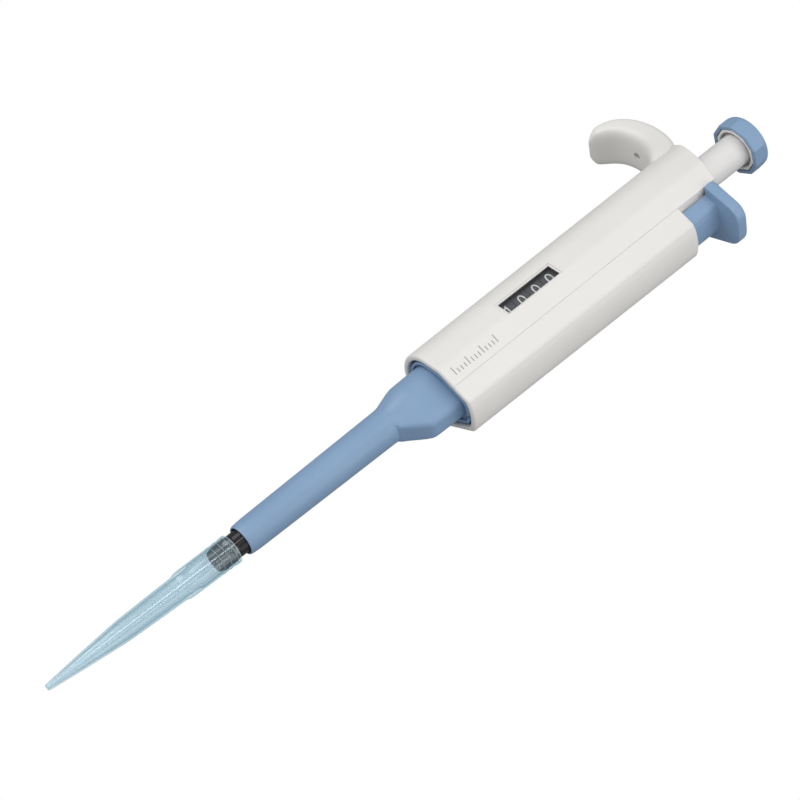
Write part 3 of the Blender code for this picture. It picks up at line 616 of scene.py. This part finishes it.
# Strokes of each figure, in a box 1 high and about 0.56 wide round (0, 0)
FIGURE_STROKES = {
    0: [arc(0, 0, 0.25, 0.46, 0, 360, 36)],
    1: [[(0.04, -0.46), (0.04, 0.46), (-0.16, 0.27)]],
    2: [arc(0, 0.22, 0.24, 0.24, 165, -35, 16) + [(-0.24, -0.46), (0.26, -0.46)]],
    3: [arc(0, 0.23, 0.22, 0.23, 150, -90, 16), arc(0, -0.23, 0.25, 0.23, 90, -150, 16)],
    4: [[(0.12, -0.46), (0.12, 0.46), (-0.27, -0.18), (0.27, -0.18)]],
    5: [[(0.22, 0.46), (-0.18, 0.46), (-0.21, 0.04)] + arc(0, -0.17, 0.25, 0.29, 125, -145, 18)],
    6: [arc(0, -0.19, 0.25, 0.27, 0, 360, 28), arc(0.12, -0.10, 0.37, 0.56, 180, 100, 14)],
    7: [[(-0.25, 0.46), (0.25, 0.46), (-0.08, -0.46)]],
    8: [arc(0, 0.24, 0.20, 0.22, 0, 360, 24), arc(0, -0.22, 0.25, 0.24, 0, 360, 26)],
    9: [arc(0, 0.19, 0.25, 0.27, 0, 360, 28), arc(-0.12, 0.10, 0.37, 0.56, 0, -80, 14)],
}


def short_steps(path, longest=0.1):
    """The path with its long straights cut short, so that they follow the wheel."""
    made = [path[0]]
    for (u0, v0), (u1, v1) in zip(path, path[1:]):
        parts = max(1, math.ceil(math.hypot(u1 - u0, v1 - v0) / longest))
        made += [(u0 + (u1 - u0) * k / parts, v0 + (v1 - v0) * k / parts) for k in range(1, parts + 1)]
    return made


def figure(name, digit, middle, turn, body):
    """One figure, top towards the hook, raised 0.03 mm off the wheel."""
    points, faces = [], []
    for path in FIGURE_STROKES[digit]:
        dots = [Vector((u * FIGURE_WIDTH, v * FIGURE_HEIGHT)) for u, v in short_steps(path)]
        shut = (dots[0] - dots[-1]).length < 1e-6
        for i in range(len(dots)):
            before = dots[i - 1] if i else (dots[-2] if shut else None)
            after = dots[i + 1] if i < len(dots) - 1 else (dots[1] if shut else None)
            a = (dots[i] - before).normalized() if before is not None else None
            b = (after - dots[i]).normalized() if after is not None else None
            along = (a + b).normalized() if a is not None and b is not None else (a or b)
            keep = max(0.45, along.dot(b if b is not None else a))
            side = Vector((-along.y, along.x)) * (FIGURE_STROKE / 2.0 / keep)
            for radius in (DRUM_R - 0.05, DRUM_R + 0.03):
                for spot in (dots[i] - side, dots[i] + side):
                    angle = turn - spot.y / DRUM_R
                    points.append((radius * math.cos(angle), radius * math.sin(angle), middle + spot.x))
            if i:
                n = len(points) - 8
                faces += [(n, n + 1, n + 5, n + 4), (n + 2, n + 6, n + 7, n + 3), (n, n + 4, n + 6, n + 2),
                          (n + 1, n + 3, n + 7, n + 5)]
        n = len(points) - 4
        first = len(points) - 4 * len(dots)
        faces += [(n, n + 1, n + 3, n + 2), (first, first + 2, first + 3, first + 1)]
    piece(name, points, faces, FIGURES, body, (), 30.0, "drum_grey")


def top_cap():
    """Bush round the push rod, a little below the body's sloping top."""
    outer = back_half(outline(BODY_TOP, WALL + 0.2), SEAM_X - 0.25)
    sunk = 0.7
    rings = []
    for inset, drop in ((0.0, 8.0), (0.0, 0.9), (0.15, 0.75), (0.4, sunk)):
        shrink = 1.0 - inset / 12.0
        rings.append([(x * shrink, y * shrink, min(top_at(x), BUSH_HIGHEST + sunk) - drop) for x, y in outer])
    bush = solid("top_bush", *loft(rings))
    combine(bush, solid("bush_bore", *loft([circle(BUSH_BORE_R, z) for z in (250.0, 290.0)])))
    finish_piece(bush, WHITE, "handle", ("top_cap",), 30.0)


def nozzle():
    """The black tip cone: a stepped, grooved end inside the tip and a plain shank above it."""
    profile = [(1.3, 61.45), (3.4, 61.45), (3.62, 61.6), (3.7, 61.9), (3.7, 62.6), (4.0, 62.75), (4.1, 62.95),
               (4.1, 64.5), (4.0, 64.6), (4.0, 65.0), (4.1, 65.1), (4.1, 67.9), (4.0, 68.3), (3.9, 68.5),
               (3.88, 69.4), (3.95, 69.6), (4.0, 134.5), (6.1, 138.5), (6.1, 160.0), (8.4, 160.0),
               (8.4, 170.7), (7.0, 170.7), (7.0, 162.5), (4.8, 162.5), (4.8, 139.5), (1.3, 136.5)]
    piece("tip_cone", *turned(profile), BLACK, "handle", ("cylinder",), slot="black_plastic")


# ---------------------------------------------------------------- plunger

def decagon(radius, z, corner=0.7, within=99.0):
    """Ten-sided ring with rounded corners, trimmed to a circle."""
    turns = [math.radians(KNOB_TURN) + 2.0 * math.pi * k / KNOB_SIDES for k in range(KNOB_SIDES)]
    points = [(radius * math.cos(turn), radius * math.sin(turn)) for turn in turns]
    ring = []
    for i, here in enumerate(points):
        before, after = points[i - 1], points[(i + 1) % KNOB_SIDES]
        rim = smooth_corner(before, here, after, corner, 5)
        flat = [(rim[-1][0] + (after[0] - here[0]) * k, rim[-1][1] + (after[1] - here[1]) * k)
                for k in (0.15, 0.3, 0.45, 0.6, 0.75)]
        ring += rim + flat
    trimmed = []
    for x, y in ring:
        keep = min(1.0, within / math.hypot(x, y))
        trimmed.append((x * keep, y * keep, z))
    return trimmed


def knob():
    """Ten flats below, running out into a round, domed top."""
    pocket = 8.4
    rings = [decagon(pocket, KNOB_TOP - 2.2, 0.4), decagon(pocket, KNOB_BOTTOM + 0.2, 0.4),
             decagon(pocket + 0.12, KNOB_BOTTOM, 0.5), decagon(KNOB_R - 0.56, KNOB_BOTTOM, 0.6),
             decagon(KNOB_R - 0.26, KNOB_BOTTOM + 0.1), decagon(KNOB_R - 0.06, KNOB_BOTTOM + 0.35),
             decagon(KNOB_R, KNOB_BOTTOM + 0.75), decagon(KNOB_R, KNOB_TOP - 3.0)]
    dome = ((2.4, 9.75), (1.8, 9.66), (1.3, 9.52), (0.9, 9.32), (0.6, 9.05), (0.35, 8.6), (0.16, 7.9),
            (0.05, 6.6), (0.0, 4.6))
    rings += [decagon(KNOB_R, KNOB_TOP - drop, within=within) for drop, within in dome]
    piece("knob", *loft(rings), BLUE, "plunger", ("plunger_knob",), 14.0, "grey_blue")


def knob_insert():
    """White ten-sided lining with a round well for the push rod."""
    low, high = KNOB_BOTTOM + 0.15, KNOB_TOP - 2.5
    well, bore, corner = 6.75, 2.3, 0.4

    def ring(radius, z):
        return decagon(radius * 1.12, z, corner, radius)

    rings = [ring(well, high - 1.6), ring(well, low + 0.3), ring(well + 0.2, low), decagon(7.95, low, corner),
             decagon(8.1, low + 0.2, corner), decagon(8.1, high, corner), ring(bore, high),
             ring(bore, high - 1.6)]
    # The lining's lighter white is painted light on its downward face
    piece("knob_lining", *loft(rings, closed=True), LINING_PAINTED_LIGHT, "plunger", ("knob_insert",), 22.0, "rod_white")


def push_rod():
    """Hollow rod between the knob and the hidden plunger."""
    low, high, bore = 240.2, KNOB_TOP - 4.4, 2.3
    profile = [(bore, low), (ROD_R - 0.3, low), (ROD_R - 0.08, low + 0.1), (ROD_R, low + 0.4),
               (ROD_R, high - 0.4), (ROD_R - 0.08, high - 0.1), (ROD_R - 0.3, high), (bore, high)]
    piece("plunger_rod", *turned(profile), ROD, "plunger", ("push_rod",), slot="rod_white")


# ---------------------------------------------------------------- ejector

def flange_outline(inset):
    """The thumb flange from above, with a notch round the body's seam."""
    root_x, root_y = SEAM_X + 0.3 + inset, 11.5 - inset
    end_x, end_y = 26.92 - inset, 7.05 - inset
    notch_x, notch_y = STEM_X - 0.1 + inset, 7.9 + inset
    corner = max(0.4, 6.4 - inset)
    edge = [(root_x, -root_y), (end_x, -end_y), (end_x, end_y), (root_x, root_y),
            (root_x, notch_y), (notch_x, notch_y), (notch_x, -notch_y), (root_x, -notch_y)]
    return rounded(edge, [0.8, corner, corner, 0.8, 0.0, 0.0, 0.0, 0.0], 9)


def ejector_button():
    """Stem that follows the nose, with a rounded thumb flange."""
    rings = []
    for z, inset in ((238.5, 0.0), (FLANGE_LOW - 0.35, 0.0), (FLANGE_LOW - 0.1, 0.1), (FLANGE_LOW, 0.35),
                     (FLANGE_LOW + 1.5, 0.35)):
        rings.append(at_height(nose_half(outline(COVER_TOP, WALL + 0.4 - inset), STEM_X), z))
    button = solid("thumb_button", *loft(rings))
    levels = [(inset, FLANGE_LOW + rise) for inset, rise in edge_round(0.6, 5)]
    levels += [(inset, FLANGE_HIGH - drop) for inset, drop in edge_round(1.25, 6)[::-1]]
    flange = [at_height(flange_outline(inset), z) for inset, z in levels]
    combine(button, solid("thumb_flange", *loft(flange)), "UNION")
    finish_piece(button, BLUE, "ejector", ("ejector_button",), 30.0)


def neck_outline(radius, reach, wedge_half=3.3):
    """Circle drawn out into a blunt rounded wedge towards +X, and evened out."""
    samples, width, every = 720, 18, 5
    raw = []
    for k in range(samples):
        turn = 2.0 * math.pi * k / samples
        r = radius
        if reach > radius + 0.01:
            corner = math.atan2(wedge_half, reach)
            tangent = corner + math.acos(min(1.0, radius / math.hypot(reach, wedge_half)))
            folded = abs(math.remainder(turn, 2.0 * math.pi))
            if folded <= corner:
                r = reach / math.cos(folded)
            elif folded < tangent:
                r = radius / math.cos(tangent - folded)
        raw.append(r)
    kernel = np.hanning(2 * width + 3)
    kernel /= kernel.sum()
    margin = 60
    smooth = np.convolve(np.concatenate([raw[-margin:], raw, raw[:margin]]), kernel, "same")[margin:-margin]
    turns = [2.0 * math.pi * k / samples for k in range(0, samples, every)]
    return [(r * math.cos(turn), r * math.sin(turn)) for r, turn in zip(smooth[::every], turns)]


def ejector_sleeve():
    """Tube, flare and wedge neck, with the rounded lip that closes the body."""
    steps = 144
    end = [(4.45, 0.5), (4.55, 0.12), (4.68, 0.0), (4.86, 0.0), (5.0, 0.12), (5.1, 0.4), (5.22, 1.1),
           (5.32, 2.4)]
    rings = [circle(radius, SLEEVE_END + rise, steps) for radius, rise in end]
    for z in np.linspace(SLEEVE_END + 4.5, 131.0, 12):
        rings.append(circle(5.36 + 0.69 * (z - SLEEVE_END) / (134.0 - SLEEVE_END), z, steps))
    flare = ((132.4, 6.06, 0.0), (133.2, 6.10, 6.6), (134.2, 6.30, 7.4), (135.6, 6.72, 8.8),
             (137.2, 7.22, 10.4), (138.8, 7.70, 11.9), (140.0, 8.02, 12.85), (140.8, 8.18, 13.25),
             (141.6, 8.28, 13.42), (144.0, 8.34, 13.5), (149.0, 8.42, 13.6), (153.6, 8.5, 13.65))
    rings += [at_height(neck_outline(radius, max(reach, radius)), z) for z, radius, reach in flare]
    bore = ((7.3, 153.8), (6.9, 139.0), (5.15, 133.5), (4.45, SLEEVE_END + 0.9))
    rings += [circle(radius, z, steps) for radius, z in bore]
    piece("ejector_tube", *loft(rings, closed=True), BLUE, "ejector", ("ejector_sleeve",), 28.0, "grey_blue")
    ejector_lip()


def ejector_lip():
    """Bead that follows the body's rim on the inside, slotted on the nose side, and the web behind it."""
    def rim(inset, z):
        return at_height(whole_outline(outline(BODY_BOTTOM, inset)), z)

    low, high = BODY_BOTTOM + 0.25, BODY_BOTTOM + 4.2
    profile = [(2.85, high), (2.85, low + 0.5), (2.9, low + 0.2), (3.05, low + 0.04), (3.25, low),
               (3.55, low + 0.03), (3.78, low + 0.16), (3.86, low + 0.45), (3.9, low + 1.15),
               (4.9, low + 1.3), (4.9, high)]
    lip = solid("ejector_lip", *loft([rim(inset, z) for inset, z in profile], closed=True))
    slot = [(12.4, 0.9), (22.0, 0.3), (22.0, 2.7), (12.4, 2.7)]
    combine(lip, solid("lip_slot", *loft([at_height(slot, z) for z in (low - 1.0, high + 1.0)])))
    finish_piece(lip, BLUE, "ejector")
    web = solid("ejector_web", *loft([rim(4.4, z) for z in (low + 1.25, high - 0.3)]))
    combine(web, solid("web_bore", *loft([circle(7.2, z) for z in (low - 1.0, high + 2.0)])))
    finish_piece(web, BLUE, "ejector")


# ---------------------------------------------------------------- tip

def leaning(name, points, faces, look, angle, replaces=()):
    """A piece of the tip, which leans a little about its seat."""
    towards = math.radians(TIP_LEAN_TOWARDS)
    axis = Vector((-math.sin(towards), math.cos(towards), 0.0))
    lean = Matrix.Rotation(math.radians(-TIP_LEAN), 3, axis)
    seat = Vector((0.0, 0.0, TIP_SEAT))
    points = [tuple(lean @ (Vector(p) - seat) + seat) for p in points]
    piece(name, points, faces, look, "tip", replaces, angle, "tip_polypropylene")


def pipette_tip():
    """Thin conical tip: stepped collar with rings and a fine open end."""
    outside = [(0.85, TIP_END), (1.0, TIP_END + 0.12), (1.08, TIP_END + 0.4), (1.2, TIP_END + 1.5),
               (1.92, 6.6), (2.38, 11.5), (3.3, 22.5), (3.58, 26.0), (3.86, 36.0), (4.12, 47.3), (4.2, 47.9),
               (4.45, 48.5), (4.6, 49.0), (4.64, 50.2), (4.68, 61.8), (4.78, 61.9), (4.78, 62.1),
               (4.69, 62.2), (4.7, 64.35), (4.8, 64.45), (4.8, 64.65), (4.71, 64.75), (4.72, 66.5),
               (4.82, 66.65), (4.85, 66.9), (4.85, 68.05), (4.78, 68.3)]
    inside = [(4.42, 68.3), (4.32, 68.05), (4.29, 66.0), (4.26, 61.5), (4.2, 54.0), (3.72, 53.0), (3.6, 52.0),
              (3.52, 47.0), (3.3, 36.0), (3.05, 26.0), (1.86, 11.5), (1.45, 6.6), (0.72, TIP_END + 1.5),
              (0.6, TIP_END)]
    leaning("tip", *turned(outside + inside, 128), TIP, 40.0, ("pipette_tip",))


def tip_ribs():
    """Thin hoops and fine upright ribs outside the tip's collar."""
    points, faces = [], []

    def add(part):
        start = len(points)
        points.extend(part[0])
        faces.extend(tuple(start + i for i in f) for f in part[1])

    for radius, z, wide in ((4.70, 62.0, 0.16), (4.72, 64.55, 0.16), (4.84, 67.05, 0.14), (4.79, 68.15, 0.2)):
        add(turned([(radius + 0.03, z - wide / 2), (radius + 0.1, z - wide / 4),
                    (radius + 0.1, z + wide / 4), (radius + 0.03, z + wide / 2)], 128))
    count, half, height = 12, 0.045, 0.045
    for k in range(count):
        turn = 2.0 * math.pi * (k + 0.4) / count
        across = Vector((-math.sin(turn), math.cos(turn), 0.0)) * half
        out = Vector((math.cos(turn), math.sin(turn), 0.0))
        add(loft([[tuple(out * (radius + lift) + across * way + Vector((0.0, 0.0, z)))
                   for lift, way in ((0.0, -1), (height, -0.6), (height, 0.6), (0.0, 1))]
                  for radius, z in ((4.655, 50.4), (4.69, 60.9), (4.73, 66.9))]))
    # The hoops' and ribs' lighter colour is partly a painted glint at their edges
    leaning("tip_ribs", points, faces, TIP_RIB_GLINT, 60.0)


# ---------------------------------------------------------------- hidden works

def hidden_works():
    """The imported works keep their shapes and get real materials."""
    looks = {
        "chassis": INNER, "cylinder_nut": BRASS, "piston_seal": PTFE, "seal_o_ring": RUBBER,
        "seal_washer": STEEL, "carry_shaft": STEEL, "volume_spindle": INNER, "volume_nut": BRASS,
        "spindle_clip": STEEL, "thousands_pinion": INNER, "hundreds_pinion": INNER, "tens_pinion": INNER,
        "blowout_stop": BRASS, "centre_rod": STEEL, "piston_collar": INNER, "piston": STEEL,
        "ejector_rod": STEEL, "window_lens": CLEAR,
    }
    for name, look in looks.items():
        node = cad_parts[name]
        node.data.materials.clear()
        node.data.materials.append(look)
    coil("main_spring", "handle")
    coil("blowout_spring", "volume_screw")
    coil("ejector_spring", "handle")


def coil(node, body):
    """A packed spring as its own piece, copied from the imported one."""
    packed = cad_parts[node]
    points = [packed.matrix_world @ v.co for v in packed.data.vertices]
    made = piece(node + "_coil", [(p.x / MM, p.y / MM, (p.z - BASE) / MM) for p in points],
                 [tuple(f.vertices) for f in packed.data.polygons], STEEL, body, (node,), 40.0, "steel")
    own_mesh(made)


rear_shell()
seam_rails()
front_cover()
window()
graduation_ticks()
drums()
top_cap()
nozzle()
knob()
knob_insert()
push_rod()
ejector_button()
ejector_sleeve()
pipette_tip()
tip_ribs()
hidden_works()


# ---------------------------------------------------------------- setting

# Angles in degrees and the camera's place in millimetres, but lights and floor in metres
CAMERA_AZIMUTH = 38.0
CAMERA_LIFT = 23.1
CAMERA_ROLL = 38.25
CAMERA_AWAY = 882.0
CAMERA_AIM = 141.6             # height of the point on the plunger axis near the picture's middle
AIM_RIGHT = 0.0026056          # how far that point is from the middle, as a slope
AIM_UP = -0.0032746
LENS = 127.8                   # for a sensor 36 wide
LIGHT_AWAY = 1.2
DISK_SIZE = 0.9
STRIP_TALL = 1.8
STRIP_LIFT = 8.0
FLOOR_DROP = 1.3               # below the datum


def add_camera():
    """Long lens from below, turned and rolled so that the pipette lies across the frame."""
    azimuth, lift, roll = (math.radians(a) for a in (CAMERA_AZIMUTH, CAMERA_LIFT, CAMERA_ROLL))
    lean = lift - math.atan(AIM_RIGHT * math.cos(roll) + AIM_UP * math.sin(roll))
    view = -Vector((math.sin(azimuth) * math.cos(lean), -math.cos(azimuth) * math.cos(lean), -math.sin(lean)))
    upright = (Vector((0, 0, 1)) - view * view.z).normalized()
    side = Vector((math.cos(azimuth), math.sin(azimuth), 0.0))
    right = upright * math.cos(roll) + side * math.sin(roll)
    up = upright * math.sin(roll) - side * math.cos(roll)
    spot = Vector((0, 0, CAMERA_AIM)) - (view + right * AIM_RIGHT + up * AIM_UP) * CAMERA_AWAY
    data = bpy.data.cameras.new("camera")
    data.sensor_width = 36.0
    data.lens = LENS
    data.clip_start = 0.01
    data.clip_end = 50.0
    made = bpy.data.objects.new("camera", data)
    place = Matrix.Translation(spot * MM + Vector((0.0, 0.0, BASE)))
    made.matrix_world = place @ Matrix((right, up, -view)).transposed().to_4x4()
    bpy.context.scene.collection.objects.link(made)
    bpy.context.scene.camera = made
    return right, up, view


def add_light(name, direction, size, power, tall=None):
    """A round soft light, or an upright strip when given a height."""
    data = bpy.data.lights.new(name, "AREA")
    data.shape = "RECTANGLE" if tall else "DISK"
    data.size = size
    if tall:
        data.size_y = tall
    data.energy = power
    made = bpy.data.objects.new(name, data)
    direction = direction.normalized()
    made.location = Vector((0.0, 0.0, -0.06)) + direction * LIGHT_AWAY
    made.rotation_euler = direction.to_track_quat("Z", "Y").to_euler()
    bpy.context.scene.collection.objects.link(made)


def add_world():
    """A white backdrop where the camera sees it, and a softer light on the object."""
    world = bpy.data.worlds.new("studio")
    bpy.context.scene.world = world
    world.use_nodes = True
    tree = world.node_tree
    backdrop = tree.nodes["Background"]
    backdrop.inputs["Color"].default_value = (1.0, 1.0, 1.0, 1.0)
    backdrop.inputs["Strength"].default_value = 1.0
    soft = tree.nodes.new("ShaderNodeBackground")
    soft.inputs["Color"].default_value = (0.97, 0.985, 1.0, 1.0)
    soft.inputs["Strength"].default_value = 0.275
    path = tree.nodes.new("ShaderNodeLightPath")
    either = tree.nodes.new("ShaderNodeMath")
    either.operation = "MAXIMUM"
    mix = tree.nodes.new("ShaderNodeMixShader")
    tree.links.new(path.outputs["Is Camera Ray"], either.inputs[0])
    tree.links.new(path.outputs["Is Transmission Ray"], either.inputs[1])
    tree.links.new(either.outputs[0], mix.inputs["Fac"])
    tree.links.new(soft.outputs["Background"], mix.inputs[1])
    tree.links.new(backdrop.outputs["Background"], mix.inputs[2])
    tree.links.new(mix.outputs["Shader"], tree.nodes["World Output"].inputs["Surface"])


def add_floor():
    """A pale floor, far enough down that it doesn't block the low lights."""
    paint, tree, shader = graph("floor_paint")
    cloth = noise(tree, 14.0, 4.0)
    tree.links.new(tint(tree, cloth.outputs["Fac"], (0.86, 0.86, 0.86), (0.90, 0.90, 0.90)),
                   shader.inputs["Base Color"])
    shader.inputs["Roughness"].default_value = 0.7
    size, low = 8.0, BASE - FLOOR_DROP
    mesh = bpy.data.meshes.new("floor")
    mesh.from_pydata([(-size, -size, low), (size, -size, low), (size, size, low), (-size, size, low)],
                     [], [(0, 1, 2, 3)])
    mesh.materials.append(paint)
    ground = bpy.data.objects.new("floor", mesh)
    bpy.context.scene.collection.objects.link(ground)


def setting():
    """Camera, lights, backdrop and floor."""
    right, up, view = add_camera()
    add_world()
    for name, direction, power in (("front", -view + up * 0.1, 1.0), ("above", -view * 0.35 + up, 1.1),
                                   ("above_left", -view * 0.6 + up * 0.7 - right * 0.7, 5.5),
                                   ("left", -view * 0.4 - right, 1.9), ("right", -view * 0.5 + right, 4.2),
                                   ("below_right", -view * 0.6 - up * 0.7 + right * 0.6, 2.0)):
        add_light(name, direction, DISK_SIZE, power)
    lift = math.radians(STRIP_LIFT)
    for name, turn, width, power in (("strip", 24.0, 0.11, 4.5), ("strip_2", 52.0, 0.05, 0.8)):
        turn = math.radians(turn)
        towards = Vector((math.sin(turn) * math.cos(lift), -math.cos(turn) * math.cos(lift), math.sin(lift)))
        add_light(name, towards, width, power, STRIP_TALL)
    add_floor()
    bpy.context.scene.view_settings.view_transform = "Standard"
    bpy.context.scene.view_settings.look = "None"


setting()
bpy.context.view_layer.update()
